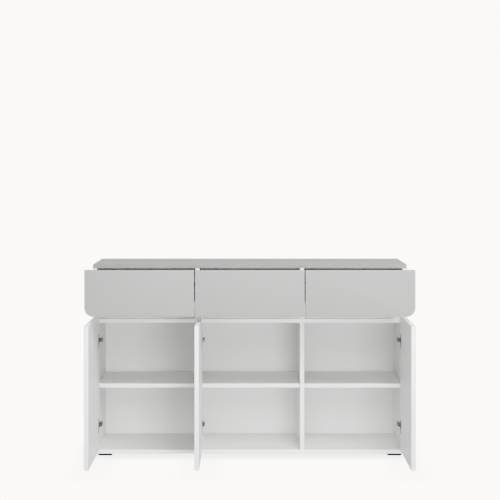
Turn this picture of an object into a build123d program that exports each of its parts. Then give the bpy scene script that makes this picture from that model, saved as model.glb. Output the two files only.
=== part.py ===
"""Three-door, three-drawer sideboard in coated board, modelled with its doors open and drawers out.

The origin is on the floor, under the middle of the cabinet. +X is to the right of somebody who
faces the cabinet, +Y is towards its back and +Z is up. Lengths are in millimetres.
"""
import os

from build123d import *

os.makedirs("parts", exist_ok=True)

# Driving dimensions of the cabinet
WIDTH = 1400
HEIGHT = 865
DEPTH = 420
BOARD = 18
BACK_THICKNESS = 3
FOOT_HEIGHT = 20
DRAWER_BAY = 225
SHELF_UNDERSIDE = 312
SHELF_SETBACK = 20
RAIL_HEIGHT = 75
RAIL_SETBACK = 20

# Driving dimensions of the doors and drawer fronts
FRONT_GAP = 3
REVEAL = 1
JOINT_GAP = 4
DOOR_BOTTOM = 39
DOOR_TOP = 639
DOOR_BOTTOM_ROUND = 10
DOOR_TOP_ROUND = 3
FRONT_TOP_ROUND = 8
FRONT_BOTTOM = 667
FRONT_TOP = HEIGHT - 1
DRAWER_OPEN = 342
BOX_LENGTH = 350
BOX_BOTTOM = 705
BOX_TOP = 825
BOX_BOARD = 12
RUNNER_LEVEL = 756
RUNNER_WIDTH = 12.7
LOWER_HINGE = 149
UPPER_HINGE = 526

# Places that follow from the driving dimensions
HALF = WIDTH / 2
FRONT = -DEPTH / 2
BACK = DEPTH / 2 - BACK_THICKNESS
BAY_SIDE = HALF - BOARD
TOP_UNDERSIDE = HEIGHT - BOARD
FLOOR_TOP = FOOT_HEIGHT + BOARD
DIVIDER_TOP = TOP_UNDERSIDE - DRAWER_BAY
DIVIDER_UNDERSIDE = DIVIDER_TOP - BOARD
FRONT_WIDTH = (WIDTH - 2 * REVEAL - 2 * JOINT_GAP) / 3
SPLIT = (FRONT_WIDTH + JOINT_GAP) / 2
HINGE_LEVELS = (LOWER_HINGE, UPPER_HINGE)

# The three bays, each between two inner faces
BAYS = {
    "left": (-BAY_SIDE, -SPLIT - BOARD / 2),
    "centre": (-SPLIT + BOARD / 2, SPLIT - BOARD / 2),
    "right": (SPLIT + BOARD / 2, BAY_SIDE),
}
FRONT_CENTRES = {"left": -2 * SPLIT, "centre": 0, "right": 2 * SPLIT}

# Holes and fixings
DOWEL_RADIUS = 4
DOWEL_LENGTH = 30
DOWEL_DEPTH = 11
CAM_RADIUS = 7.5
CAM_DEPTH = 12.5
CAM_INSET = 24
BOLT_RADIUS = 3.5
PIN_RADIUS = 2.5
PIN_LENGTH = 16
SCREW_RADIUS = 2


def board(x_limits, y_limits, z_limits, mode=Mode.ADD):
    """Put a rectangular board between the given limits into the piece being built."""
    (x0, x1), (y0, y1), (z0, z1) = x_limits, y_limits, z_limits
    with Locations(((x0 + x1) / 2, (y0 + y1) / 2, (z0 + z1) / 2)):
        Box(x1 - x0, y1 - y0, z1 - z0, mode=mode)


def rod(centre, direction, radius, length, mode=Mode.ADD):
    """Put a round rod, centred on a point and lying along a direction, into the piece."""
    with Locations(Plane(origin=centre, z_dir=direction)):
        Cylinder(radius, length, mode=mode)


# Wooden dowels in every board joint, half in each board's edge or face
DOWEL_OFFSET = DOWEL_LENGTH / 2 - DOWEL_DEPTH
with BuildPart() as dowels:
    for level in (FOOT_HEIGHT + BOARD / 2, DIVIDER_TOP - BOARD / 2):
        for y in (-150, 130):
            rod((-BAY_SIDE + DOWEL_OFFSET, y, level), (1, 0, 0), DOWEL_RADIUS, DOWEL_LENGTH)
            rod((BAY_SIDE - DOWEL_OFFSET, y, level), (1, 0, 0), DOWEL_RADIUS, DOWEL_LENGTH)
    for x in (-SPLIT, SPLIT):
        for y in (-150, 130):
            rod((x, y, FLOOR_TOP + DOWEL_OFFSET), (0, 0, 1), DOWEL_RADIUS, DOWEL_LENGTH)
            rod((x, y, DIVIDER_UNDERSIDE - DOWEL_OFFSET), (0, 0, 1), DOWEL_RADIUS, DOWEL_LENGTH)
        for y in (-110, 90):
            rod((x, y, DIVIDER_TOP + DOWEL_OFFSET), (0, 0, 1), DOWEL_RADIUS, DOWEL_LENGTH)
    for x in (-HALF + BOARD / 2, -SPLIT, SPLIT, HALF - BOARD / 2):
        for y in (-150, 130):
            rod((x, y, TOP_UNDERSIDE - DOWEL_OFFSET), (0, 0, 1), DOWEL_RADIUS, DOWEL_LENGTH)
dowels.part.label = "wood_dowels"
export_step(dowels.part, "parts/wood_dowels.step")

# Steel bolts screwed into the sides and the top, one for each cam
CAM_ROWS = (-95, 75)
BOLT_LENGTH = CAM_INSET + DOWEL_DEPTH - 4
with BuildPart() as cam_bolts:
    for side in (-1, 1):
        bolt_middle = side * (BAY_SIDE - BOLT_LENGTH / 2 + DOWEL_DEPTH)
        for y in CAM_ROWS:
            for level in (FOOT_HEIGHT + BOARD / 2, DIVIDER_TOP - BOARD / 2):
                rod((bolt_middle, y, level), (1, 0, 0), BOLT_RADIUS, BOLT_LENGTH)
            bolt_level = TOP_UNDERSIDE - BOLT_LENGTH / 2 + DOWEL_DEPTH
            rod((side * (HALF - BOARD / 2), y, bolt_level), (0, 0, 1), BOLT_RADIUS, BOLT_LENGTH)
cam_bolts.part.label = "cam_bolts"
export_step(cam_bolts.part, "parts/cam_bolts.step")

# Die-cast cams that clamp the bolts, let into the undersides of the boards and the sides' insides
with BuildPart() as cams:
    for side in (-1, 1):
        for y in CAM_ROWS:
            for underside in (FOOT_HEIGHT, DIVIDER_UNDERSIDE):
                cam_centre = (side * (BAY_SIDE - CAM_INSET), y, underside + CAM_DEPTH / 2)
                rod(cam_centre, (0, 0, 1), CAM_RADIUS, CAM_DEPTH)
            cam_centre = (side * (BAY_SIDE + CAM_DEPTH / 2), y, TOP_UNDERSIDE - CAM_INSET)
            rod(cam_centre, (1, 0, 0), CAM_RADIUS, CAM_DEPTH)
cam_pockets = cams.part
with BuildPart() as cam_locks:
    add(cam_pockets)
    add(cam_bolts.part, mode=Mode.SUBTRACT)
cam_locks.part.label = "cam_locks"
export_step(cam_locks.part, "parts/cam_locks.step")


def cut_joinery():
    """Cut the holes for the dowels, cams and bolts into the board being built."""
    add(dowels.part, mode=Mode.SUBTRACT)
    add(cam_bolts.part, mode=Mode.SUBTRACT)
    add(cam_pockets, mode=Mode.SUBTRACT)


# Shelf pins: four under each shelf, half their length in the boards
PIN_LEVEL = SHELF_UNDERSIDE - PIN_RADIUS
PIN_ROWS = (-155, 150)
with BuildPart() as shelf_pins:
    for left_face, right_face in BAYS.values():
        for y in PIN_ROWS:
            rod((left_face, y, PIN_LEVEL), (1, 0, 0), PIN_RADIUS, PIN_LENGTH)
            rod((right_face, y, PIN_LEVEL), (1, 0, 0), PIN_RADIUS, PIN_LENGTH)
shelf_pins.part.label = "shelf_pins"
export_step(shelf_pins.part, "parts/shelf_pins.step")

# Hinges. Each hinge is drawn about the door's turning axis. Local x points from the hinge side
# into the bay, local y points to the back, and a right-hand hinge is the mirror of a left one.
HINGES = {
    "left": {"hand": 1, "face": -BAY_SIDE, "edge": -HALF + REVEAL, "inset": 10.5, "lead": 21,
             "pivot": (24, 26), "reach": 26, "cup": 12},
    "centre": {"hand": 1, "face": -SPLIT + BOARD / 2, "edge": -SPLIT + JOINT_GAP / 2, "inset": 8.5,
               "lead": 14.5, "pivot": (17.5, 24), "reach": 24, "cup": 12},
    "right": {"hand": -1, "face": BAY_SIDE, "edge": HALF - REVEAL, "inset": 10.5, "lead": 21,
              "pivot": (24, 26), "reach": 26, "cup": 12},
}
CUP_RADIUS = 17.5
CUP_DEPTH = 12.5
CUP_WALL = 1.5
FLANGE_THICKNESS = 1
FLANGE_RADIUS = 18.5
FLANGE_LENGTH = 65
WING_WIDTH = 16
CUP_SCREW_SPACING = 48
PLATE_START = 20
PLATE_LENGTH = 32
PLATE_WING = 2
LINK_THICKNESS = 2
LINK_WIDTH = 10
LINK_HOOK = 6.6
ARM_WALL = 1.2
ARM_WIDTH = 15.2
HINGE_PIN = 1.3
PIN_HOLE = 1.36


def axis_x(hinge):
    """Where a door's turning axis lies from left to right."""
    return hinge["edge"] + hinge["hand"] * hinge["inset"]


def cabinet_plane(hinge, level):
    """The plane of a hinge's fixed half, at one level."""
    origin = (axis_x(hinge), FRONT - hinge["lead"], level)
    return Plane(origin=origin, x_dir=(hinge["hand"], 0, 0), z_dir=(0, 0, hinge["hand"]))


def door_plane(hinge, level):
    """The plane of a hinge's door half with the door open at a right angle.

    Local x runs from the axis along the door, and local y from the axis to the door's inside.
    """
    origin = (axis_x(hinge), FRONT - hinge["lead"], level)
    return Plane(origin=origin, x_dir=(0, -1, 0), z_dir=(0, 0, hinge["hand"]))


def face_x(hinge):
    """The cabinet board's inner face, from the turning axis."""
    return hinge["hand"] * (hinge["face"] - axis_x(hinge))


def door_inside(hinge):
    """The door's inner face, from the turning axis."""
    return hinge["lead"] - FRONT_GAP


# Mounting plates: a winged base screwed to the board, with a block that carries the arm
with BuildPart() as plates:
    for hinge in HINGES.values():
        face = face_x(hinge)
        block_height = hinge["pivot"][0] + 3 - face
        block_start = hinge["lead"] + PLATE_START
        for level in HINGE_LEVELS:
            plane = cabinet_plane(hinge, level)
            with BuildSketch(plane):
                with Locations((face + block_height / 2, block_start + PLATE_LENGTH / 2)):
                    Rectangle(block_height, PLATE_LENGTH)
            extrude(amount=6, both=True)
            with BuildSketch(plane):
                with Locations((face + PLATE_WING / 2, block_start + 10)):
                    Rectangle(PLATE_WING, 20)
            extrude(amount=26, both=True)

# Euro screws that hold the plates, two to a plate
with BuildPart() as plate_screws:
    for hinge in HINGES.values():
        face = face_x(hinge)
        for level in HINGE_LEVELS:
            for offset in (-16, 16):
                plane = cabinet_plane(hinge, level + offset)
                screw_y = hinge["lead"] + PLATE_START + 10
                shank = plane.from_local_coords((face - 5, screw_y, 0))
                head = plane.from_local_coords((face + PLATE_WING + 0.75, screw_y, 0))
                rod(shank, (1, 0, 0), SCREW_RADIUS, 10 + 2 * PLATE_WING)
                rod(head, (1, 0, 0), 2 * SCREW_RADIUS, 1.5)
plate_screws.part.label = "hinge_plate_screws"
export_step(plate_screws.part, "parts/hinge_plate_screws.step")

with BuildPart() as hinge_plates:
    add(plates.part)
    add(plate_screws.part, mode=Mode.SUBTRACT)
hinge_plates.part.label = "hinge_plates"
export_step(hinge_plates.part, "parts/hinge_plates.step")

# Hinge arms: pressed steel channels over the blocks, with the links' pin across the front end
with BuildPart() as hinge_arms:
    for hinge in HINGES.values():
        pivot_x, pivot_y = hinge["pivot"]
        arm_start = pivot_y - 3
        arm_end = hinge["lead"] + PLATE_START + PLATE_LENGTH
        arm_middle = (arm_start + arm_end) / 2
        for level in HINGE_LEVELS:
            plane = cabinet_plane(hinge, level)
            with BuildSketch(plane):
                with Locations((pivot_x + 0.6, arm_middle)):
                    Rectangle(7.2, arm_end - arm_start)
            extrude(amount=ARM_WIDTH / 2, both=True)
            with BuildSketch(plane):
                with Locations((pivot_x - 0.6, arm_middle)):
                    Rectangle(7.2, arm_end - arm_start + 2)
            extrude(amount=ARM_WIDTH / 2 - ARM_WALL, both=True, mode=Mode.SUBTRACT)
            with BuildSketch(plane):
                with Locations((pivot_x, pivot_y)):
                    Circle(HINGE_PIN)
            extrude(amount=ARM_WIDTH / 2, both=True)
hinge_arms.part.label = "hinge_arms"
export_step(hinge_arms.part, "parts/hinge_arms.step")

# Hinge links: cranked strips that turn on the arm's pin and hook into the cup
for place, hinge in HINGES.items():
    pivot_x, pivot_y = hinge["pivot"]
    tip_y = pivot_y - hinge["reach"]
    with BuildPart() as hinge_links:
        for level in HINGE_LEVELS:
            with BuildSketch(cabinet_plane(hinge, level)):
                with Locations((pivot_x, (pivot_y + tip_y - LINK_THICKNESS / 2) / 2)):
                    Rectangle(LINK_THICKNESS, pivot_y - tip_y + LINK_THICKNESS / 2)
                with Locations((pivot_x - LINK_HOOK / 2, tip_y)):
                    Rectangle(LINK_HOOK + LINK_THICKNESS, LINK_THICKNESS)
                with Locations((pivot_x, pivot_y)):
                    Circle(2.4)
                    Circle(PIN_HOLE, mode=Mode.SUBTRACT)
            extrude(amount=LINK_WIDTH / 2, both=True)
    hinge_links.part.label = f"hinge_links_{place}"
    export_step(hinge_links.part, f"parts/hinge_links_{place}.step")

# Doors with their hinge cups and the cups' screws
for place, hinge in HINGES.items():
    inside = door_inside(hinge)
    hand = hinge["hand"]
    with BuildPart() as cup_screws:
        for level in HINGE_LEVELS:
            for offset in (-CUP_SCREW_SPACING / 2, CUP_SCREW_SPACING / 2):
                plane = door_plane(hinge, level + offset)
                shank = plane.from_local_coords((hinge["cup"] + 6, inside - 5, 0))
                head = plane.from_local_coords((hinge["cup"] + 6, inside + FLANGE_THICKNESS + 0.4, 0))
                rod(shank, (1, 0, 0), SCREW_RADIUS * 0.8, 10 + 2 * FLANGE_THICKNESS)
                rod(head, (1, 0, 0), 3.2, 0.8)
    cup_screws.part.label = f"cup_screws_{place}"
    export_step(cup_screws.part, f"parts/cup_screws_{place}.step")

    with BuildPart() as hinge_cups:
        for level in HINGE_LEVELS:
            plane = door_plane(hinge, level)
            cup_face = Plane(
                origin=plane.from_local_coords((hinge["cup"], inside, 0)),
                x_dir=(0, -1, 0),
                z_dir=(hand, 0, 0),
            )
            with BuildSketch(cup_face):
                Circle(FLANGE_RADIUS)
                with Locations((6, 0)):
                    RectangleRounded(WING_WIDTH, FLANGE_LENGTH, WING_WIDTH / 2 - 0.5)
            extrude(amount=FLANGE_THICKNESS)
            with BuildSketch(cup_face):
                Circle(CUP_RADIUS)
            extrude(amount=-CUP_DEPTH)
            with BuildSketch(cup_face.offset(FLANGE_THICKNESS)):
                Circle(CUP_RADIUS - CUP_WALL)
            extrude(amount=-CUP_DEPTH - FLANGE_THICKNESS + 1, mode=Mode.SUBTRACT)
        add(cup_screws.part, mode=Mode.SUBTRACT)
    hinge_cups.part.label = f"hinge_cups_{place}"
    export_step(hinge_cups.part, f"parts/hinge_cups_{place}.step")

    # The door panel: lightly rounded along its outer top edge, more so along its outer bottom edge
    outside_x = axis_x(hinge) + hand * (inside - BOARD)
    inside_x = axis_x(hinge) + hand * inside
    hinge_end = FRONT - hinge["lead"] + hinge["inset"]
    with BuildPart() as door:
        board(
            (min(outside_x, inside_x), max(outside_x, inside_x)),
            (hinge_end - FRONT_WIDTH, hinge_end),
            (DOOR_BOTTOM, DOOR_TOP),
        )
        long_edges = door.edges().filter_by(Axis.Y)
        bottom_outer = long_edges.group_by(Axis.Z)[0].sort_by(Axis.X)[0 if hand > 0 else -1]
        fillet(bottom_outer, radius=DOOR_BOTTOM_ROUND)
        long_edges = door.edges().filter_by(Axis.Y)
        top_outer = long_edges.group_by(Axis.Z)[-1].sort_by(Axis.X)[0 if hand > 0 else -1]
        fillet(top_outer, radius=DOOR_TOP_ROUND)
        for level in HINGE_LEVELS:
            bore = door_plane(hinge, level).from_local_coords((hinge["cup"], inside - CUP_DEPTH / 2, 0))
            rod(bore, (1, 0, 0), CUP_RADIUS, CUP_DEPTH, mode=Mode.SUBTRACT)
        add(cup_screws.part, mode=Mode.SUBTRACT)
    door.part.label = f"door_{place}"
    export_step(door.part, f"parts/door_{place}.step")

# Feet: four tapered plastic feet near the corners and a block under the middle
CORNER_FOOT_X = 652
CORNER_FOOT_LENGTH = 68
FOOT_ROWS = (-125, 150)
FOOT_WIDTH = 50
MIDDLE_FOOT = 60
FOOT_COUNTERBORE = 4.5
with BuildPart() as foot_screws:
    foot_screw_spots = [(side * CORNER_FOOT_X, y) for side in (-1, 1) for y in FOOT_ROWS]
    for x, y in foot_screw_spots + [(0, 20)]:
        rod((x, y, 20), (0, 0, 1), SCREW_RADIUS, 28)
        rod((x, y, 7), (0, 0, 1), 2 * SCREW_RADIUS, 2)
foot_screws.part.label = "foot_screws"
export_step(foot_screws.part, "parts/foot_screws.step")

with BuildPart() as corner_feet:
    for side in (-1, 1):
        for y in FOOT_ROWS:
            foot_middle_x = side * CORNER_FOOT_X
            with BuildSketch(Plane(origin=(foot_middle_x, y, 0))):
                RectangleRounded(CORNER_FOOT_LENGTH - 6, FOOT_WIDTH - 6, 6)
            with BuildSketch(Plane(origin=(foot_middle_x, y, FOOT_HEIGHT))):
                RectangleRounded(CORNER_FOOT_LENGTH, FOOT_WIDTH, 8)
            loft()
            rod((foot_middle_x, y, 3), (0, 0, 1), FOOT_COUNTERBORE, 6, mode=Mode.SUBTRACT)
    add(foot_screws.part, mode=Mode.SUBTRACT)
corner_feet.part.label = "corner_feet"
export_step(corner_feet.part, "parts/corner_feet.step")

with BuildPart() as middle_foot:
    with BuildSketch(Plane.XY):
        RectangleRounded(MIDDLE_FOOT - 6, MIDDLE_FOOT - 6, 6)
    with BuildSketch(Plane.XY.offset(FOOT_HEIGHT)):
        RectangleRounded(MIDDLE_FOOT, MIDDLE_FOOT, 8)
    loft()
    rod((0, 20, 3), (0, 0, 1), FOOT_COUNTERBORE, 6, mode=Mode.SUBTRACT)
    add(foot_screws.part, mode=Mode.SUBTRACT)
middle_foot.part.label = "middle_foot"
export_step(middle_foot.part, "parts/middle_foot.step")

# Nails that hold the back panel to the edges of the boards, their heads flush with it
with BuildPart() as back_nails:
    nail_spots = []
    for x in (-HALF + BOARD / 2, -SPLIT, SPLIT, HALF - BOARD / 2):
        for z in (80, 220, 360, 500, 700, 800):
            nail_spots.append((x, z))
    for x in (-580, -460, -340, -120, 0, 120, 340, 460, 580):
        for z in (FOOT_HEIGHT + BOARD / 2, DIVIDER_TOP - BOARD / 2, HEIGHT - BOARD / 2):
            nail_spots.append((x, z))
    for x, z in nail_spots:
        rod((x, DEPTH / 2 - 8, z), (0, 1, 0), 0.8, 16)
        rod((x, DEPTH / 2 - 0.5, z), (0, 1, 0), 2.2, 1)
back_nails.part.label = "back_nails"
export_step(back_nails.part, "parts/back_nails.step")

# Cabinet boards
with BuildPart() as side_left:
    board((-HALF, -BAY_SIDE), (FRONT, BACK), (FOOT_HEIGHT, TOP_UNDERSIDE))
    cut_joinery()
    add(shelf_pins.part, mode=Mode.SUBTRACT)
    add(plate_screws.part, mode=Mode.SUBTRACT)
    add(back_nails.part, mode=Mode.SUBTRACT)
side_left.part.label = "side_left"
export_step(side_left.part, "parts/side_left.step")

with BuildPart() as side_right:
    board((BAY_SIDE, HALF), (FRONT, BACK), (FOOT_HEIGHT, TOP_UNDERSIDE))
    cut_joinery()
    add(shelf_pins.part, mode=Mode.SUBTRACT)
    add(plate_screws.part, mode=Mode.SUBTRACT)
    add(back_nails.part, mode=Mode.SUBTRACT)
side_right.part.label = "side_right"
export_step(side_right.part, "parts/side_right.step")

with BuildPart() as top_board:
    board((-HALF, HALF), (FRONT, BACK), (TOP_UNDERSIDE, HEIGHT))
    top_rim = top_board.edges().group_by(Axis.Z)[-1].sort_by(Axis.Y)[:3]
    fillet(top_rim, radius=1)
    cut_joinery()
    add(back_nails.part, mode=Mode.SUBTRACT)
top_board.part.label = "top_board"
export_step(top_board.part, "parts/top_board.step")

with BuildPart() as bottom_panel:
    board((-BAY_SIDE, BAY_SIDE), (FRONT, BACK), (FOOT_HEIGHT, FLOOR_TOP))
    cut_joinery()
    add(foot_screws.part, mode=Mode.SUBTRACT)
    add(back_nails.part, mode=Mode.SUBTRACT)
bottom_panel.part.label = "bottom_panel"
export_step(bottom_panel.part, "parts/bottom_panel.step")

with BuildPart() as divider_panel:
    board((-BAY_SIDE, BAY_SIDE), (FRONT, BACK), (DIVIDER_UNDERSIDE, DIVIDER_TOP))
    cut_joinery()
    add(back_nails.part, mode=Mode.SUBTRACT)
divider_panel.part.label = "divider_panel"
export_step(divider_panel.part, "parts/divider_panel.step")

for place, centre_x in {"left": -SPLIT, "right": SPLIT}.items():
    partition_x = (centre_x - BOARD / 2, centre_x + BOARD / 2)
    with BuildPart() as partition:
        board(partition_x, (FRONT, BACK), (FLOOR_TOP, DIVIDER_UNDERSIDE))
        cut_joinery()
        add(shelf_pins.part, mode=Mode.SUBTRACT)
        add(plate_screws.part, mode=Mode.SUBTRACT)
        add(back_nails.part, mode=Mode.SUBTRACT)
    partition.part.label = f"partition_{place}"
    export_step(partition.part, f"parts/partition_{place}.step")

    with BuildPart() as upper_partition:
        board(partition_x, (FRONT, BACK), (DIVIDER_TOP, TOP_UNDERSIDE))
        cut_joinery()
        add(back_nails.part, mode=Mode.SUBTRACT)
    upper_partition.part.label = f"upper_partition_{place}"
    export_step(upper_partition.part, f"parts/upper_partition_{place}.step")

with BuildPart() as back_panel:
    board((-HALF + 1, HALF - 1), (BACK, DEPTH / 2), (FOOT_HEIGHT + 1, HEIGHT - 1))
    add(back_nails.part, mode=Mode.SUBTRACT)
back_panel.part.label = "back_panel"
export_step(back_panel.part, "parts/back_panel.step")

# One loose shelf and one fixed rail in each bay
for place, (left_face, right_face) in BAYS.items():
    with BuildPart() as shelf:
        board(
            (left_face + 1, right_face - 1),
            (FRONT + SHELF_SETBACK, BACK - 2),
            (SHELF_UNDERSIDE, SHELF_UNDERSIDE + BOARD),
        )
    shelf.part.label = f"shelf_{place}"
    export_step(shelf.part, f"parts/shelf_{place}.step")

    with BuildPart() as grip_rail:
        board(
            (left_face, right_face),
            (FRONT + RAIL_SETBACK, FRONT + RAIL_SETBACK + BOARD),
            (DIVIDER_TOP, DIVIDER_TOP + RAIL_HEIGHT),
        )
    grip_rail.part.label = f"grip_rail_{place}"
    export_step(grip_rail.part, f"parts/grip_rail_{place}.step")

# Ball-bearing runners: three nested channels on each side of each drawer. Distances across the
# runner are measured from the cabinet board's face towards the drawer.
RUNNER_START = FRONT + 3
RUNNER_LENGTH = 350
STEEL = 1.2


def channel(face, hand, start, web, lips, half_height):
    """Put one runner channel into the piece: a web across one end and two lips.

    web and lips are spans across the runner, and half_height is the channel's own.
    """

    def across(span):
        """A span across the runner as limits from left to right."""
        return sorted(face + hand * distance for distance in span)

    length = (start, start + RUNNER_LENGTH)
    board(across(web), length, (RUNNER_LEVEL - half_height, RUNNER_LEVEL + half_height))
    for side in (-1, 1):
        lip = sorted((RUNNER_LEVEL + side * half_height, RUNNER_LEVEL + side * (half_height - STEEL)))
        board(across(lips), length, lip)


with BuildPart() as runner_cabinet_members:
    for left_face, right_face in BAYS.values():
        for face, hand in ((left_face, 1), (right_face, -1)):
            channel(face, hand, RUNNER_START, (0, STEEL), (0, 9), 22.5)
runner_cabinet_members.part.label = "runner_cabinet_members"
export_step(runner_cabinet_members.part, "parts/runner_cabinet_members.step")

# Drawers, drawn out by DRAWER_OPEN from their closed place
BOX_HEIGHT = BOX_TOP - BOX_BOTTOM
FRONT_INSIDE = FRONT - FRONT_GAP - DRAWER_OPEN
BOX_END = FRONT_INSIDE + BOX_LENGTH
GROOVE_LEVEL = BOX_BOTTOM + 11
GROOVE_DEPTH = 6
PANEL_EDGE = 5.5
BOTTOM_THICKNESS = 3
GROOVE = (GROOVE_LEVEL, GROOVE_LEVEL + BOTTOM_THICKNESS)
for place, (left_face, right_face) in BAYS.items():
    faces = ((left_face, 1), (right_face, -1))
    box_x = (left_face + RUNNER_WIDTH, right_face - RUNNER_WIDTH)
    inner_x = (box_x[0] + BOX_BOARD, box_x[1] - BOX_BOARD)
    front_x = FRONT_CENTRES[place]
    groove_x = (inner_x[0] - GROOVE_DEPTH, inner_x[1] + GROOVE_DEPTH)
    groove_y = (FRONT_INSIDE - GROOVE_DEPTH, BOX_END - BOX_BOARD + GROOVE_DEPTH)

    with BuildPart() as runner_middle_members:
        for face, hand in faces:
            channel(face, hand, RUNNER_START - DRAWER_OPEN / 2, (3.4, 4.6), (3.4, 11), 18.5)
    runner_middle_members.part.label = f"runner_middle_members_{place}"
    export_step(runner_middle_members.part, f"parts/runner_middle_members_{place}.step")

    with BuildPart() as runner_drawer_members:
        for face, hand in faces:
            web = (RUNNER_WIDTH - STEEL, RUNNER_WIDTH)
            channel(face, hand, RUNNER_START - DRAWER_OPEN, web, (6, RUNNER_WIDTH), 15)
    runner_drawer_members.part.label = f"runner_drawer_members_{place}"
    export_step(runner_drawer_members.part, f"parts/runner_drawer_members_{place}.step")

    # The front: rounded edges, and a wide curve at the cabinet's outer bottom corner
    with BuildPart() as drawer_front:
        board(
            (front_x - FRONT_WIDTH / 2, front_x + FRONT_WIDTH / 2),
            (FRONT_INSIDE - BOARD, FRONT_INSIDE),
            (FRONT_BOTTOM, FRONT_TOP),
        )
        bottom_corners = drawer_front.edges().filter_by(Axis.Y).group_by(Axis.Z)[0].sort_by(Axis.X)
        if place == "left":
            fillet(bottom_corners[0], radius=38)
        if place == "right":
            fillet(bottom_corners[-1], radius=38)
        top_outer = drawer_front.edges().filter_by(Axis.X).group_by(Axis.Z)[-1].sort_by(Axis.Y)[0]
        fillet(top_outer, radius=FRONT_TOP_ROUND)
        board(groove_x, (FRONT_INSIDE - GROOVE_DEPTH, FRONT_INSIDE), GROOVE, mode=Mode.SUBTRACT)
    drawer_front.part.label = f"drawer_front_{place}"
    export_step(drawer_front.part, f"parts/drawer_front_{place}.step")

    with BuildPart() as drawer_sides:
        for side_x in ((box_x[0], inner_x[0]), (inner_x[1], box_x[1])):
            board(side_x, (FRONT_INSIDE, BOX_END), (BOX_BOTTOM, BOX_TOP))
        board(groove_x, (FRONT_INSIDE, BOX_END), GROOVE, mode=Mode.SUBTRACT)
    drawer_sides.part.label = f"drawer_sides_{place}"
    export_step(drawer_sides.part, f"parts/drawer_sides_{place}.step")

    with BuildPart() as drawer_back:
        board(inner_x, (BOX_END - BOX_BOARD, BOX_END), (BOX_BOTTOM, BOX_TOP))
        board(inner_x, (BOX_END - BOX_BOARD, groove_y[1]), GROOVE, mode=Mode.SUBTRACT)
    drawer_back.part.label = f"drawer_back_{place}"
    export_step(drawer_back.part, f"parts/drawer_back_{place}.step")

    with BuildPart() as drawer_bottom:
        board(
            (inner_x[0] - PANEL_EDGE, inner_x[1] + PANEL_EDGE),
            (FRONT_INSIDE - PANEL_EDGE, BOX_END - BOX_BOARD + PANEL_EDGE),
            GROOVE,
        )
    drawer_bottom.part.label = f"drawer_bottom_{place}"
    export_step(drawer_bottom.part, f"parts/drawer_bottom_{place}.step")
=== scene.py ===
import math

import bpy
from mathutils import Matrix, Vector


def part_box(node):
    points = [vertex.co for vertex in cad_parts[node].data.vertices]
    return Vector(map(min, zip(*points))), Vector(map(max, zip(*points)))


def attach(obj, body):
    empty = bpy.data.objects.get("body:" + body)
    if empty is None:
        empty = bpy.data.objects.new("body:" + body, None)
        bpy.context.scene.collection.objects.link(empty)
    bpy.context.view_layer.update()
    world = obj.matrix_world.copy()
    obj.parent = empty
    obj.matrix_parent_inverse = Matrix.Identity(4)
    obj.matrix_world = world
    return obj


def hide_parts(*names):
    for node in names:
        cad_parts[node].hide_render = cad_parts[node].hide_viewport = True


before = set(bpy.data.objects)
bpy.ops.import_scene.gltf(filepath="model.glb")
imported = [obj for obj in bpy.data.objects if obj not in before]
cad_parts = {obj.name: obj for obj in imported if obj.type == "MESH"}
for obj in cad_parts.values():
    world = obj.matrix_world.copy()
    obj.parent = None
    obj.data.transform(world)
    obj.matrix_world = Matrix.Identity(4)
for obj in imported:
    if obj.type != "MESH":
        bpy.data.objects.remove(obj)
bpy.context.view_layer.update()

# ---------------------------------------------------------------------------------------------
# Camera: level and straight in front, at the height of somebody's chest, with a long lens. The
# view is shifted down instead of tilted, so that upright edges stay upright.
EYE_HEIGHT = 1.304
EYE_TO_CABINET = 6.75
LENS = 108.9
FILM_WIDTH = 36
SHIFT_ACROSS = 0.0004
SHIFT_DOWN = 0.168
FAR_LIMIT = 400
cabinet_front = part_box("side_left")[0].y
bpy.ops.object.camera_add(
    location=(0, cabinet_front - EYE_TO_CABINET, EYE_HEIGHT),
    rotation=(math.radians(90), 0, 0),
)
camera = bpy.context.object
camera.name = "camera"
camera.data.lens = LENS
camera.data.sensor_width = FILM_WIDTH
camera.data.shift_x = SHIFT_ACROSS
camera.data.shift_y = -SHIFT_DOWN
camera.data.clip_end = FAR_LIMIT
bpy.context.scene.camera = camera

# ---------------------------------------------------------------------------------------------
# Studio: a seamless warm white floor and surround, softly lit from behind and from above. Four
# soft lamps stand in front, the lower ones reaching into the cupboards.
# The exposure curve has a soft shoulder, as film has, so that white boards keep their shading:
# light to the power of the contrast, over itself plus the knee.
BACKDROP = (2.15, 2.1, 2.05, 1)
CURVE_WHITE = 2.2
CURVE_CONTRAST = 1.27
CURVE_KNEE = 0.4
WHITE_SHOWN = 0.98
CURVE_STOPS = (0.01, 0.04, 0.1, 0.2, 0.3, 0.45, 0.75)
FLOOR_SIZE = 300
FLOOR_GREY = 0.1
FLOOR_GLOW = 0.55
# Painted contact shadow on the floor's glow: how dark it gets and how far it reaches.
CONTACT_SHADE = 0.82
CONTACT_REACH = 0.12
SKY_FROM = (
    ("behind", "Y", 1.15),
    ("above", "Z", 0.75),
)
MOST_BOUNCES = 16
MOST_DIFFUSE_BOUNCES = 12
LAMPS_AIM_AT = (0, 0, 0.5)

view = bpy.context.scene.view_settings
view.view_transform = "Standard"
view.use_curve_mapping = True
view.curve_mapping.white_level = (CURVE_WHITE, CURVE_WHITE, CURVE_WHITE)
film = view.curve_mapping.curves[3]
for stop in CURVE_STOPS:
    response = (stop * CURVE_WHITE) ** CURVE_CONTRAST
    film.points.new(stop, response / (response + CURVE_KNEE))
film.points[len(film.points) - 1].location = (1, WHITE_SHOWN)
view.curve_mapping.update()

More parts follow.
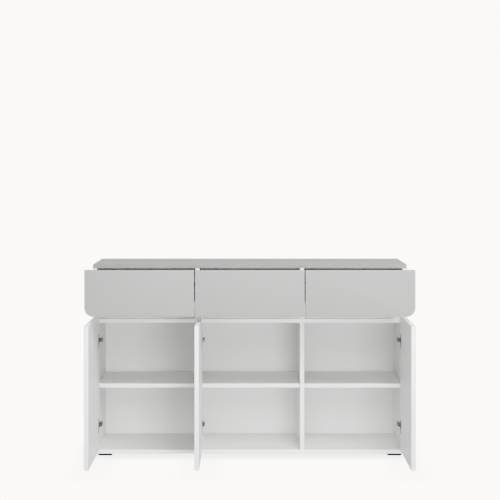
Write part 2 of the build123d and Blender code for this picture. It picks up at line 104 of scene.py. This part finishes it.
bpy.ops.mesh.primitive_plane_add(size=FLOOR_SIZE, location=(0, 0, 0))
floor = bpy.context.object
floor.name = "studio_floor"
floor_paint = bpy.data.materials.new("studio floor")
floor_paint.use_nodes = True
floor_tree = floor_paint.node_tree
floor_shader = floor_tree.nodes["Principled BSDF"]
floor_shader.inputs["Base Color"].default_value = (FLOOR_GREY, FLOOR_GREY, FLOOR_GREY, 1)
floor_shader.inputs["Roughness"].default_value = 0.9
floor_shader.inputs["Specular IOR Level"].default_value = 0
floor_shader.inputs["Emission Color"].default_value = (1, 1, 1, 1)
floor_shader.inputs["Emission Strength"].default_value = FLOOR_GLOW
floor_seen = floor_tree.nodes.new("ShaderNodeEmission")
floor_ray = floor_tree.nodes.new("ShaderNodeLightPath")
floor_choice = floor_tree.nodes.new("ShaderNodeMixShader")
# Painted contact shadow: ambient occlusion darkens the floor's glow under and around the cabinet.
floor_painted_shadow = floor_tree.nodes.new("ShaderNodeAmbientOcclusion")
floor_painted_shadow.inputs["Distance"].default_value = CONTACT_REACH
floor_shadow_tone = floor_tree.nodes.new("ShaderNodeMapRange")
floor_shadow_tone.inputs["To Min"].default_value = CONTACT_SHADE
floor_seen.inputs["Color"].default_value = BACKDROP
floor_tree.links.new(floor_painted_shadow.outputs["AO"], floor_shadow_tone.inputs["Value"])
floor_tree.links.new(floor_shadow_tone.outputs["Result"], floor_seen.inputs["Strength"])
floor_tree.links.new(floor_ray.outputs["Is Camera Ray"], floor_choice.inputs[0])
floor_tree.links.new(floor_shader.outputs[0], floor_choice.inputs[1])
floor_tree.links.new(floor_seen.outputs[0], floor_choice.inputs[2])
floor_tree.links.new(floor_choice.outputs[0], floor_tree.nodes["Material Output"].inputs[0])
floor.data.materials.append(floor_paint)

# Light has to reach far into the white cupboards, so it may bounce more often than usual.
bpy.context.scene.cycles.max_bounces = MOST_BOUNCES
bpy.context.scene.cycles.diffuse_bounces = MOST_DIFFUSE_BOUNCES

world = bpy.data.worlds.new("studio surround")
world.use_nodes = True
bpy.context.scene.world = world
sky = world.node_tree
sky_light = sky.nodes["Background"]
sky_light.inputs["Color"].default_value = (1, 1, 1, 1)
sky_direction = sky.nodes.new("ShaderNodeTexCoord")
sky_axes = sky.nodes.new("ShaderNodeSeparateXYZ")
sky.links.new(sky_direction.outputs["Generated"], sky_axes.inputs[0])
sky_total = None
for label, axis, strength in SKY_FROM:
    part = sky.nodes.new("ShaderNodeMath")
    part.label = label
    part.operation = "MULTIPLY"
    part.inputs[1].default_value = strength
    sky.links.new(sky_axes.outputs[axis], part.inputs[0])
    facing = sky.nodes.new("ShaderNodeMath")
    facing.operation = "MAXIMUM"
    facing.inputs[1].default_value = 0
    sky.links.new(part.outputs[0], facing.inputs[0])
    if sky_total is None:
        sky_total = facing
    else:
        added = sky.nodes.new("ShaderNodeMath")
        sky.links.new(sky_total.outputs[0], added.inputs[0])
        sky.links.new(facing.outputs[0], added.inputs[1])
        sky_total = added
sky.links.new(sky_total.outputs[0], sky_light.inputs["Strength"])
sky_seen = sky.nodes.new("ShaderNodeBackground")
sky_seen.inputs["Color"].default_value = BACKDROP
sky_choice = sky.nodes.new("ShaderNodeMixShader")
sky_ray = sky.nodes.new("ShaderNodeLightPath")
sky.links.new(sky_ray.outputs["Is Camera Ray"], sky_choice.inputs[0])
sky.links.new(sky_light.outputs[0], sky_choice.inputs[1])
sky.links.new(sky_seen.outputs[0], sky_choice.inputs[2])
sky.links.new(sky_choice.outputs[0], sky.nodes["World Output"].inputs[0])


def soft_lamp(name, place, width, height, watts):
    """A large soft lamp in front of the cabinet, turned towards its middle."""
    aim = Vector(LAMPS_AIM_AT) - Vector(place)
    turn = aim.to_track_quat("-Z", "Y").to_euler()
    bpy.ops.object.light_add(type="AREA", location=place, rotation=turn)
    lamp = bpy.context.object
    lamp.name = name
    lamp.data.shape = "RECTANGLE"
    lamp.data.size = width
    lamp.data.size_y = height
    lamp.data.energy = watts


soft_lamp("high_lamp", (0, -6, 2.8), 3, 1.6, 100)
soft_lamp("steep_lamp", (1.0, -3.4, 3.2), 1.6, 1.2, 150)
soft_lamp("low_lamp", (0, -6, 0.35), 3, 0.5, 45)
soft_lamp("low_right_lamp", (1.1, -6, 0.35), 1.4, 0.5, 85)

# ---------------------------------------------------------------------------------------------
# Side boards: particle board faced with white melamine, cut square. A plastic strip is glued round
# the edges, its corners scraped to a fine round, and leaves a hairline seam on the faces.
# Inside, near the top, each side has two bores for the cams that hold the upper boards.
STRIP_THICKNESS = 0.001
SEAM_WIDTH = 0.00015
SEAM_DEPTH = 0.0001
BOARD_ROUND = 0.0009
SQUARE_LIMIT = 0.25
SMOOTH_BELOW = 28
BORE_SIDES = 48
NEAR = 1e-5
ALONG = 0.99
FACE_WHITE = (0.785, 0.785, 0.778)
STRIP_WHITE = (0.92, 0.92, 0.91)
CAM_RADIUS = 0.0075
CAM_DEPTH = 0.0126


def select_only(piece):
    """Deselect everything, then select one object and make it active."""
    bpy.ops.object.select_all(action="DESELECT")
    piece.select_set(True)
    bpy.context.view_layer.objects.active = piece


def block(name, low, high):
    """A rectangular block between two opposite corners, its object at the origin."""
    size = Vector(high) - Vector(low)
    middle = (Vector(high) + Vector(low)) / 2
    bpy.ops.object.select_all(action="DESELECT")
    bpy.ops.mesh.primitive_cube_add(size=1, location=middle, scale=size)
    piece = bpy.context.object
    piece.name = name
    bpy.ops.object.transform_apply(location=True, rotation=True, scale=True)
    return piece


def choose(piece, kind, wanted):
    """In edit mode, select the faces or edges that wanted(middle, direction) picks out."""
    select_only(piece)
    bpy.ops.object.mode_set(mode="EDIT")
    bpy.ops.mesh.select_mode(type=kind)
    bpy.ops.mesh.select_all(action="DESELECT")
    bpy.ops.object.mode_set(mode="OBJECT")
    if kind == "FACE":
        for face in piece.data.polygons:
            face.select = bool(wanted(face.center, face.normal))
    else:
        points = [vertex.co for vertex in piece.data.vertices]
        for edge in piece.data.edges:
            start, end = points[edge.vertices[0]], points[edge.vertices[1]]
            edge.select = bool(wanted((start + end) / 2, (end - start).normalized()))
    bpy.ops.object.mode_set(mode="EDIT")


def round_edges(piece, wanted, radius, segments):
    """Round the chosen edges."""
    choose(piece, "EDGE", wanted)
    bpy.ops.mesh.bevel(offset=radius, segments=segments, affect="EDGES")
    bpy.ops.object.mode_set(mode="OBJECT")


def seam_faces(piece, wanted, margin=STRIP_THICKNESS):
    """Press a hairline seam into the chosen faces, a margin in from their edges."""
    choose(piece, "FACE", wanted)
    bpy.ops.mesh.inset(thickness=margin, use_individual=True)
    bpy.ops.mesh.inset(thickness=SEAM_WIDTH, depth=-SEAM_DEPTH, use_individual=True)
    bpy.ops.mesh.inset(thickness=SEAM_WIDTH, depth=SEAM_DEPTH, use_individual=True)
    bpy.ops.object.mode_set(mode="OBJECT")


def ease_edges(piece, radius=BOARD_ROUND, segments=2):
    """Take the sharpness off every square edge and shade the rounds smoothly."""
    normals = {}
    for face in piece.data.polygons:
        for key in face.edge_keys:
            normals.setdefault(key, []).append(face.normal)
    points = piece.data.vertices
    square = set()
    for (first, second), pair in normals.items():
        if len(pair) == 2 and pair[0].dot(pair[1]) < SQUARE_LIMIT:
            middle = (points[first].co + points[second].co) / 2
            square.add(tuple(round(value, 6) for value in middle))
    round_edges(
        piece,
        lambda middle, direction: tuple(round(value, 6) for value in middle) in square,
        radius,
        segments,
    )
    select_only(piece)
    bpy.ops.object.shade_smooth_by_angle(angle=math.radians(SMOOTH_BELOW))


def bore(piece, place, along, radius, depth):
    """Bore a round flat-bottomed hole at a place on a face, as deep as asked for."""
    turn = Vector(along).to_track_quat("Z", "Y").to_euler()
    bpy.ops.object.select_all(action="DESELECT")
    bpy.ops.mesh.primitive_cylinder_add(
        vertices=BORE_SIDES, radius=radius, depth=2 * depth, location=place, rotation=turn
    )
    cutter = bpy.context.object
    select_only(piece)
    hole = piece.modifiers.new("bore", "BOOLEAN")
    hole.operation = "DIFFERENCE"
    hole.object = cutter
    bpy.ops.object.modifier_apply(modifier=hole.name)
    bpy.data.objects.remove(cutter)
    bpy.ops.object.shade_smooth_by_angle(angle=math.radians(SMOOTH_BELOW))


def copy_piece(piece, name, move=(0, 0, 0), mirrored=False):
    """A copy with its own mesh, moved, or mirrored to the other side of the cabinet."""
    select_only(piece)
    bpy.ops.object.duplicate()
    copy = bpy.context.object
    copy.name = name
    copy.location = move
    if mirrored:
        copy.scale.x = -1
    bpy.ops.object.transform_apply(location=True, rotation=True, scale=True)
    if mirrored:
        bpy.ops.object.mode_set(mode="EDIT")
        bpy.ops.mesh.select_all(action="SELECT")
        bpy.ops.mesh.normals_make_consistent(inside=False)
        bpy.ops.object.mode_set(mode="OBJECT")
    return copy


def finish_piece(piece, node, body, material):
    """Give a piece its material, hang it under its body, and hide the CAD node it stands in for.
    """
    piece.data.materials.clear()
    piece.data.materials.append(material)
    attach(piece, body)
    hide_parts(node)


def new_group(name, inputs, outputs):
    """An empty shader node group with named sockets, and its input and output nodes."""
    group = bpy.data.node_groups.new(name, "ShaderNodeTree")
    for socket_name, kind, value in inputs:
        socket = group.interface.new_socket(
            name=socket_name, in_out="INPUT", socket_type="NodeSocket" + kind
        )
        socket.default_value = value
    for socket_name, kind in outputs:
        group.interface.new_socket(
            name=socket_name, in_out="OUTPUT", socket_type="NodeSocket" + kind
        )
    return group, group.nodes.new("NodeGroupInput"), group.nodes.new("NodeGroupOutput")


def maths(tree, operation, first, second, third=None):
    """A Math node whose inputs are sockets or plain numbers; returns its output."""
    node = tree.nodes.new("ShaderNodeMath")
    node.operation = operation
    for socket, value in zip(node.inputs, (first, second, third)):
        if isinstance(value, (int, float)):
            socket.default_value = value
        elif value is not None:
            tree.links.new(value, socket)
    return node.outputs[0]


def noise(tree, vector, scale, detail, distortion=0):
    """A Noise Texture node over a vector; returns its value from 0 to 1."""
    node = tree.nodes.new("ShaderNodeTexNoise")
    node.inputs["Detail"].default_value = detail
    node.inputs["Distortion"].default_value = distortion
    tree.links.new(vector, node.inputs["Vector"])
    if isinstance(scale, (int, float)):
        node.inputs["Scale"].default_value = scale
    else:
        tree.links.new(scale, node.inputs["Scale"])
    return node.outputs["Fac"]


# Surface grain is what coated boards, foils, plastic and sheet metal share: a slow drift of tone,
# a drift of sheen where hands and cloths have passed, and a fine tooth that breaks up highlights.
surface_grain, grain_in, grain_out = new_group(
    "surface grain",
    (
        ("Colour", "Color", (0.8, 0.8, 0.8, 1)),
        ("Tone Drift", "Float", 0.02),
        ("Roughness", "Float", 0.4),
        ("Sheen Drift", "Float", 0.05),
        ("Tooth Size", "Float", 0.001),
        ("Tooth Depth", "Float", 0.05),
    ),
    (("Colour", "Color"), ("Roughness", "Float"), ("Normal", "Vector")),
)
grain_place = surface_grain.nodes.new("ShaderNodeTexCoord").outputs["Object"]
slow_drift = maths(surface_grain, "SUBTRACT", noise(surface_grain, grain_place, 6, 4), 0.5)
wiping = maths(surface_grain, "SUBTRACT", noise(surface_grain, grain_place, 14, 6, 0.6), 0.5)
tooth_scale = maths(surface_grain, "DIVIDE", 1, grain_in.outputs["Tooth Size"])
tooth = noise(surface_grain, grain_place, tooth_scale, 3)
grain_tone = surface_grain.nodes.new("ShaderNodeHueSaturation")
grain_relief = surface_grain.nodes.new("ShaderNodeBump")
grain_relief.inputs["Distance"].default_value = 0.0004
for source, target in (
    (maths(surface_grain, "MULTIPLY_ADD", slow_drift, grain_in.outputs["Tone Drift"], 1),
     grain_tone.inputs["Value"]),
    (grain_in.outputs["Colour"], grain_tone.inputs["Color"]),
    (tooth, grain_relief.inputs["Height"]),
    (grain_in.outputs["Tooth Depth"], grain_relief.inputs["Strength"]),
    (grain_tone.outputs["Color"], grain_out.inputs["Colour"]),
    (maths(surface_grain, "MULTIPLY_ADD", wiping, grain_in.outputs["Sheen Drift"],
           grain_in.outputs["Roughness"]), grain_out.inputs["Roughness"]),
    (grain_relief.outputs["Normal"], grain_out.inputs["Normal"]),
):
    surface_grain.links.new(source, target)


def grained_material(name, colour, roughness, tone=0.02, sheen=0.08, tooth_size=0.001, depth=0.03):
    """A material whose colour, roughness and normal come through the surface grain."""
    material = bpy.data.materials.new(name)
    material.use_nodes = True
    tree = material.node_tree
    shader = tree.nodes["Principled BSDF"]
    grain = tree.nodes.new("ShaderNodeGroup")
    grain.name = "grain"
    grain.node_tree = surface_grain
    grain.location = (-300, 200)
    grain.inputs["Colour"].default_value = (*colour, 1)
    grain.inputs["Roughness"].default_value = roughness
    grain.inputs["Tone Drift"].default_value = tone
    grain.inputs["Sheen Drift"].default_value = sheen
    grain.inputs["Tooth Size"].default_value = tooth_size
    grain.inputs["Tooth Depth"].default_value = depth
    tree.links.new(grain.outputs["Colour"], shader.inputs["Base Color"])
    tree.links.new(grain.outputs["Roughness"], shader.inputs["Roughness"])
    tree.links.new(grain.outputs["Normal"], shader.inputs["Normal"])
    return material


def melamine_material(name, front_edge):
    """White melamine faces, with a whiter and glossier plastic strip on the front edge."""
    material = grained_material(name, FACE_WHITE, 0.45)
    tree = material.node_tree
    place = tree.nodes.new("ShaderNodeTexCoord")
    axes = tree.nodes.new("ShaderNodeSeparateXYZ")
    strip = tree.nodes.new("ShaderNodeMix")
    strip.data_type = "RGBA"
    strip.inputs["A"].default_value = (*FACE_WHITE, 1)
    strip.inputs["B"].default_value = (*STRIP_WHITE, 1)
    tree.links.new(place.outputs["Object"], axes.inputs[0])
    on_strip = maths(tree, "LESS_THAN", axes.outputs["Y"], front_edge + STRIP_THICKNESS)
    tree.links.new(on_strip, strip.inputs["Factor"])
    tree.links.new(strip.outputs["Result"], tree.nodes["grain"].inputs["Colour"])
    strip_roughness = maths(tree, "MULTIPLY_ADD", on_strip, -0.1, 0.45)
    tree.links.new(strip_roughness, tree.nodes["grain"].inputs["Roughness"])
    return material


white_melamine = melamine_material("white melamine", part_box("side_left")[0].y)
cams_low, cams_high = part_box("cam_locks")
cam_depths = (cams_low.y + CAM_RADIUS, cams_high.y - CAM_RADIUS)
side_cam_level = cams_high.z - CAM_RADIUS

left_side = block("side_left_board", *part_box("side_left"))
seam_faces(left_side, lambda middle, normal: abs(normal.x) > ALONG)
ease_edges(left_side)
inner_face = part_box("side_left")[1].x
for cam_y in cam_depths:
    bore(left_side, (inner_face, cam_y, side_cam_level), (1, 0, 0), CAM_RADIUS, CAM_DEPTH)
right_side = copy_piece(left_side, "side_right_board", mirrored=True)
finish_piece(left_side, "side_left", "cabinet", white_melamine)
finish_piece(right_side, "side_right", "cabinet", white_melamine)

# ---------------------------------------------------------------------------------------------
# Bottom and divider: two long boards of the same melamine between the sides. Each has four cam
# bores in its underside, where they don't show from in front.
CAM_FROM_SIDE = 0.024
for node in ("bottom_panel", "divider_panel"):
    low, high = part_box(node)
    level_board = block(node + "_board", low, high)
    seam_faces(level_board, lambda middle, normal: abs(normal.z) > ALONG)
    ease_edges(level_board)
    for cam_x in (low.x + CAM_FROM_SIDE, high.x - CAM_FROM_SIDE):
        for cam_y in cam_depths:
            bore(level_board, (cam_x, cam_y, low.z), (0, 0, 1), CAM_RADIUS, CAM_DEPTH)
    finish_piece(level_board, node, "cabinet", white_melamine)

# ---------------------------------------------------------------------------------------------
# Partitions and grip rails: upright boards of the same melamine. The lower partitions part the
# cupboards, the upper ones the drawers, and a narrow rail closes each drawer bay behind the gap
# that fingers reach into.
for left_node, right_node in (
    ("partition_left", "partition_right"),
    ("upper_partition_left", "upper_partition_right"),
):
    partition = block(left_node + "_board", *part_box(left_node))
    seam_faces(partition, lambda middle, normal: abs(normal.x) > ALONG)
    ease_edges(partition)
    other = copy_piece(partition, right_node + "_board", mirrored=True)
    finish_piece(partition, left_node, "cabinet", white_melamine)
    finish_piece(other, right_node, "cabinet", white_melamine)

outer_rail = block("grip_rail_left_board", *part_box("grip_rail_left"))
centre_rail = block("grip_rail_centre_board", *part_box("grip_rail_centre"))
for rail in (outer_rail, centre_rail):
    seam_faces(rail, lambda middle, normal: abs(normal.y) > ALONG)
    ease_edges(rail)
right_rail = copy_piece(outer_rail, "grip_rail_right_board", mirrored=True)
for rail, place in ((outer_rail, "left"), (centre_rail, "centre"), (right_rail, "right")):
    finish_piece(rail, "grip_rail_" + place, "cabinet", white_melamine)

# ---------------------------------------------------------------------------------------------
# Back panel: one thin sheet of hardboard, lacquered white inside and left raw brown behind, and
# nailed to the boards' rear edges. The nail heads stand slightly proud of it.
HEAD_PROUD = 0.0002
LACQUER_DEPTH = 0.0002
RAW_BROWN = (0.3, 0.17, 0.09, 1)

# Raw hardboard shows pressed wood fibre: pale and dark flecks over slow blotches.
raw_fibre, fibre_in, fibre_out = new_group(
    "raw fibre",
    (
        ("Raw Side", "Float", 0),
        ("Colour", "Color", (0.8, 0.8, 0.8, 1)),
        ("Raw Colour", "Color", RAW_BROWN),
    ),
    (("Colour", "Color"),),
)
fibre_place = raw_fibre.nodes.new("ShaderNodeTexCoord").outputs["Object"]
flecks = noise(raw_fibre, fibre_place, 260, 6, 1.5)
blotches = noise(raw_fibre, fibre_place, 9, 5)
fleck_tone = maths(raw_fibre, "MULTIPLY_ADD", flecks, 0.9, 0.5)
fibre_value = maths(raw_fibre, "MULTIPLY", fleck_tone, maths(raw_fibre, "ADD", blotches, 0.5))
fibre_shade = raw_fibre.nodes.new("ShaderNodeHueSaturation")
fibre_mix = raw_fibre.nodes.new("ShaderNodeMix")
fibre_mix.data_type = "RGBA"
raw_fibre.links.new(fibre_value, fibre_shade.inputs["Value"])
raw_fibre.links.new(fibre_in.outputs["Raw Colour"], fibre_shade.inputs["Color"])
raw_fibre.links.new(fibre_in.outputs["Raw Side"], fibre_mix.inputs["Factor"])
raw_fibre.links.new(fibre_in.outputs["Colour"], fibre_mix.inputs["A"])
raw_fibre.links.new(fibre_shade.outputs["Color"], fibre_mix.inputs["B"])
raw_fibre.links.new(fibre_mix.outputs["Result"], fibre_out.inputs["Colour"])


def hardboard_material(name, raw_from):
    """Hardboard, lacquered white in front and raw from a certain depth backwards."""
    material = grained_material(name, (0.8, 0.8, 0.795), 0.55, 0.025, 0.1, 0.0016, 0.06)
    tree = material.node_tree
    place = tree.nodes.new("ShaderNodeTexCoord")
    axes = tree.nodes.new("ShaderNodeSeparateXYZ")
    tree.links.new(place.outputs["Object"], axes.inputs[0])
    raw_side = maths(tree, "GREATER_THAN", axes.outputs["Y"], raw_from)
    fibre = tree.nodes.new("ShaderNodeGroup")
    fibre.node_tree = raw_fibre
    tree.links.new(raw_side, fibre.inputs["Raw Side"])
    tree.links.new(tree.nodes["grain"].outputs["Colour"], fibre.inputs["Colour"])
    shader = tree.nodes["Principled BSDF"]
    tree.links.new(fibre.outputs["Colour"], shader.inputs["Base Color"])
    return material


back_low, back_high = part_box("back_panel")
back_sheet = block("back_panel_sheet", back_low, back_high - Vector((0, HEAD_PROUD, 0)))
ease_edges(back_sheet, radius=0.0004, segments=1)
back_hardboard = hardboard_material("back hardboard", back_low.y + LACQUER_DEPTH)
finish_piece(back_sheet, "back_panel", "cabinet", back_hardboard)

# ---------------------------------------------------------------------------------------------
# Shelves: loose melamine boards, banded on all four edges, each lying on four steel pins.
outer_shelf = block("shelf_left_board", *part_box("shelf_left"))
centre_shelf = block("shelf_centre_board", *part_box("shelf_centre"))
for shelf in (outer_shelf, centre_shelf):
    seam_faces(shelf, lambda middle, normal: abs(normal.z) > ALONG)
    ease_edges(shelf)
right_shelf = copy_piece(outer_shelf, "shelf_right_board", mirrored=True)
shelf_melamine = melamine_material("shelf melamine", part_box("shelf_left")[0].y)
for shelf, place in ((outer_shelf, "left"), (centre_shelf, "centre"), (right_shelf, "right")):
    finish_piece(shelf, "shelf_" + place, "cabinet", shelf_melamine)

# ---------------------------------------------------------------------------------------------
# Top board: the same board in light grey foil, white underneath, lying on the sides. Its upper rim
# is eased a little more, because hands and things pass over it.
TOP_RIM = 0.001
FOIL_EDGE = 0.0002
FOIL_GREY = (0.31, 0.31, 0.305)


def two_sided_foil(name, roughness, specular, axis, comparison, limit):
    """Grey foil, but white on the side of the board that the comparison picks out."""
    foil = grained_material(name, FOIL_GREY, roughness, 0.02, 0.08, 0.0008, 0.02)
    tree = foil.node_tree
    tree.nodes["Principled BSDF"].inputs["Specular IOR Level"].default_value = specular
    place = tree.nodes.new("ShaderNodeTexCoord")
    axes = tree.nodes.new("ShaderNodeSeparateXYZ")
    sides = tree.nodes.new("ShaderNodeMix")
    sides.data_type = "RGBA"
    sides.inputs["A"].default_value = (*FOIL_GREY, 1)
    sides.inputs["B"].default_value = (*FACE_WHITE, 1)
    tree.links.new(place.outputs["Object"], axes.inputs[0])
    on_white = maths(tree, comparison, axes.outputs[axis], limit)
    tree.links.new(on_white, sides.inputs["Factor"])
    tree.links.new(sides.outputs["Result"], tree.nodes["grain"].inputs["Colour"])
    return foil


top_low, top_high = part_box("top_board")
grey_foil = two_sided_foil("light grey foil", 0.62, 0.1, "Z", "LESS_THAN", top_low.z + FOIL_EDGE)
top_slab = block("top_board_slab", top_low, top_high)
seam_faces(top_slab, lambda middle, normal: normal.z < -ALONG)
ease_edges(top_slab, radius=TOP_RIM, segments=3)
finish_piece(top_slab, "top_board", "cabinet", grey_foil)

# ---------------------------------------------------------------------------------------------
# Fixings: turned beech dowels, steel cam bolts with die-cast cams, nails, and the shelf pins.
# Most are hidden in the joints. Steel parts have a dark, dull nickel plate.


def paint_node(node, material):
    """Give a CAD node that stays in view its material."""
    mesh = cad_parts[node].data
    mesh.materials.clear()
    mesh.materials.append(material)


def metal_material(name, colour, roughness, tone, tooth_size, depth):
    """A plated or cast metal with the surface grain."""
    metal = grained_material(name, colour, roughness, tone, 0.15, tooth_size, depth)
    metal.node_tree.nodes["Principled BSDF"].inputs["Metallic"].default_value = 1
    return metal


nickel = metal_material("nickel plate", (0.16, 0.16, 0.155), 0.33, 0.08, 0.0006, 0.1)
zinc = metal_material("die-cast zinc", (0.36, 0.36, 0.36), 0.48, 0.1, 0.0012, 0.25)
beech = grained_material("beech", (0.52, 0.33, 0.18), 0.6, 0.2, 0.1, 0.002, 0.3)
for node in ("cam_bolts", "back_nails", "shelf_pins", "foot_screws"):
    paint_node(node, nickel)
paint_node("cam_locks", zinc)
paint_node("wood_dowels", beech)

# ---------------------------------------------------------------------------------------------
# Feet: five tapered feet of injection-moulded black plastic with a sparked surface, each held by
# one screw from below.
PLASTIC_BLACK = (0.008, 0.008, 0.008)
black_plastic = grained_material("black plastic", PLASTIC_BLACK, 0.5, 0.15, 0.15, 0.0007, 0.3)
black_plastic.node_tree.nodes["Principled BSDF"].inputs["Specular IOR Level"].default_value = 0.12
paint_node("corner_feet", black_plastic)
paint_node("middle_foot", black_plastic)

# ---------------------------------------------------------------------------------------------
# Doors: board wrapped in white foil. The outer bottom edge has a wide round and the outer top
# edge a fine one. Two flat-bottomed holes in the inside take the hinge cups.
DOOR_BOTTOM_ROUND = 0.010
DOOR_TOP_ROUND = 0.003
DOOR_RIM = 0.0012
CUP_RADIUS = 0.0175
CUP_DEPTH = 0.0125
CUP_TO_FLANGE_END = 0.0325
CUP_TO_FLANGE_BACK = 0.0185

door_low, door_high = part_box("door_left")
cups_low, cups_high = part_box("hinge_cups_left")
left_door = block("door_left_panel", door_low, door_high)
for level, radius, segments in (
    (door_low.z, DOOR_BOTTOM_ROUND, 10),
    (door_high.z, DOOR_TOP_ROUND, 5),
):
    round_edges(
        left_door,
        lambda middle, direction: abs(middle.x - door_low.x) < NEAR
        and abs(middle.z - level) < NEAR
        and abs(direction.y) > ALONG,
        radius,
        segments,
    )
seam_faces(left_door, lambda middle, normal: normal.x > ALONG)
ease_edges(left_door, radius=DOOR_RIM)
cup_y = cups_high.y - CUP_TO_FLANGE_BACK
for cup_level in (cups_low.z + CUP_TO_FLANGE_END, cups_high.z - CUP_TO_FLANGE_END):
    bore(left_door, (door_high.x, cup_y, cup_level), (1, 0, 0), CUP_RADIUS, CUP_DEPTH)
centre_door = copy_piece(
    left_door, "door_centre_panel", move=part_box("door_centre")[0] - door_low
)
right_door = copy_piece(left_door, "door_right_panel", mirrored=True)
white_foil = grained_material("white foil", (0.85, 0.85, 0.845), 0.38, 0.015)
for door, place in ((left_door, "left"), (centre_door, "centre"), (right_door, "right")):
    finish_piece(door, "door_" + place, "door_" + place, white_foil)

# ---------------------------------------------------------------------------------------------
# Hinges: concealed hinges of pressed nickelled steel. The cup sits in the door, the arm slides on
# a plate that two screws hold to the side or partition, and two links join them.
for node in sorted(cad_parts):
    if node.startswith(("hinge_", "cup_screws")):
        paint_node(node, nickel)

# ---------------------------------------------------------------------------------------------
# Drawer fronts: board wrapped in light grey foil, white inside, with a soft top edge. The outer
# fronts have a wide curve at the cabinet's outer bottom corners.
FRONT_CORNER = 0.038
FRONT_TOP_ROUND = 0.008
FRONT_RIM = 0.002

plain_front = block("drawer_front_centre_panel", *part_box("drawer_front_centre"))
outer_front = copy_piece(
    plain_front,
    "drawer_front_left_panel",
    move=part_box("drawer_front_left")[0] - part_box("drawer_front_centre")[0],
)
left_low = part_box("drawer_front_left")[0]
round_edges(
    outer_front,
    lambda middle, direction: abs(middle.x - left_low.x) < NEAR
    and abs(middle.z - left_low.z) < NEAR
    and abs(direction.y) > ALONG,
    FRONT_CORNER,
    18,
)
front_y = left_low.y
front_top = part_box("drawer_front_left")[1].z
for front in (plain_front, outer_front):
    round_edges(
        front,
        lambda middle, direction: abs(middle.y - front_y) < NEAR
        and abs(middle.z - front_top) < NEAR
        and abs(direction.x) > ALONG,
        FRONT_TOP_ROUND,
        7,
    )
    seam_faces(front, lambda middle, normal: normal.y > ALONG)
    ease_edges(front, radius=FRONT_RIM, segments=3)
right_front = copy_piece(outer_front, "drawer_front_right_panel", mirrored=True)
front_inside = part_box("drawer_front_left")[1].y
front_foil = two_sided_foil("front foil", 0.6, 0.2, "Y", "GREATER_THAN", front_inside - FOIL_EDGE)
for front, place in ((outer_front, "left"), (plain_front, "centre"), (right_front, "right")):
    finish_piece(front, "drawer_front_" + place, "drawer_" + place, front_foil)

# ---------------------------------------------------------------------------------------------
# Drawer boxes: thin boards wrapped in off-white foil over a rounded top edge, with a bottom of
# hardboard, white on both faces, let into grooves.
BOX_TOP_ROUND = 0.0045
box_foil = grained_material("drawer box foil", (0.74, 0.74, 0.725), 0.5, 0.02, 0.1, 0.0012, 0.06)
SHEET_WHITE = (0.8, 0.8, 0.79)
bottom_sheet = grained_material(
    "drawer bottom sheet", SHEET_WHITE, 0.5, 0.025, 0.1, 0.0016, 0.06
)
for place in ("left", "centre"):
    sides_low, sides_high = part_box("drawer_sides_" + place)
    rear_low, rear_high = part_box("drawer_back_" + place)
    box_side = block(
        "drawer_sides_" + place + "_boards",
        sides_low,
        (rear_low.x, sides_high.y, sides_high.z),
    )
    box_rear = block("drawer_back_" + place + "_board", rear_low, rear_high)
    for part in (box_side, box_rear):
        round_edges(
            part,
            lambda middle, direction: abs(middle.z - sides_high.z) < NEAR
            and abs(direction.x if part is box_rear else direction.y) > ALONG,
            BOX_TOP_ROUND,
            5,
        )
    far_side = copy_piece(box_side, "far side", move=(rear_high.x - sides_low.x, 0, 0))
    select_only(box_side)
    far_side.select_set(True)
    bpy.ops.object.join()
    box_bottom = block("drawer_bottom_" + place + "_sheet", *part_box("drawer_bottom_" + place))
    ease_edges(box_side, radius=0.0006)
    ease_edges(box_rear, radius=0.0006)
    ease_edges(box_bottom, radius=0.0003, segments=1)
    copies = [(place, box_side, box_rear, box_bottom)]
    if place == "left":
        right_parts = [
            copy_piece(part, part.name.replace("left", "right"), mirrored=True)
            for part in (box_side, box_rear, box_bottom)
        ]
        copies.append(("right", *right_parts))
    for name, sides, rear, sheet in copies:
        body = "drawer_" + name
        finish_piece(sides, "drawer_sides_" + name, body, box_foil)
        finish_piece(rear, "drawer_back_" + name, body, box_foil)
        finish_piece(sheet, "drawer_bottom_" + name, body, bottom_sheet)

# ---------------------------------------------------------------------------------------------
# Runners: ball-bearing runners of rolled steel in three members. The steel is darkly passivated
# and duller than the hinges.
rolled_steel = metal_material("rolled steel", (0.11, 0.11, 0.11), 0.4, 0.12, 0.0008, 0.12)
for node in sorted(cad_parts):
    if node.startswith("runner_"):
        paint_node(node, rolled_steel)
